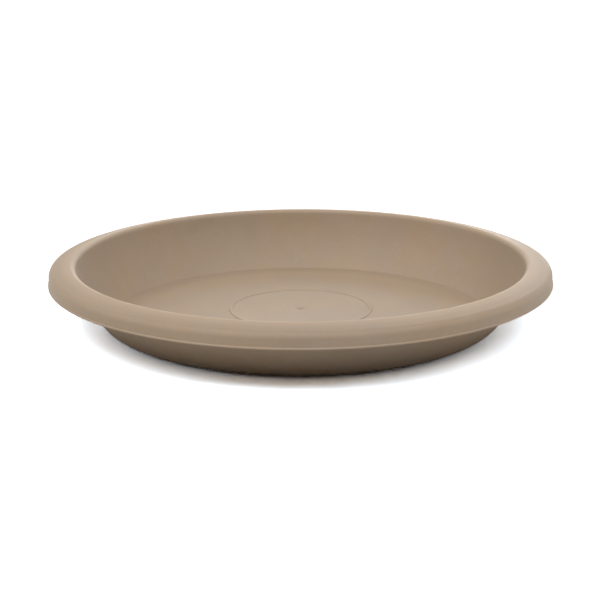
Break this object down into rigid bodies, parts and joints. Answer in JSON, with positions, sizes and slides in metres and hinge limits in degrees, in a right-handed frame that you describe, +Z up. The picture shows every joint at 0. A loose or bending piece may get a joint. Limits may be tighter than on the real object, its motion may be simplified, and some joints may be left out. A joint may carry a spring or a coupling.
{
  "type": "plant saucer",
  "caption": "Round one-piece plastic saucer that stands under a plant pot and catches its water, with a raised floor, a bowl-like wall and a broad rolled rim.",
  "frame": {"origin": "on the saucer's axis, at the ground that it stands on", "axes": "+Z up along the saucer's axis; X and Y are alike, because the saucer is round"},
  "size_m": [0.406, 0.406, 0.0511],
  "materials": {
    "saucer_plastic": "matte sandstone-coloured polypropylene with a fine moulded grain"
  },
  "bodies": {
    "root": {"saucer": "saucer_plastic"}
  },
  "joints": []
}
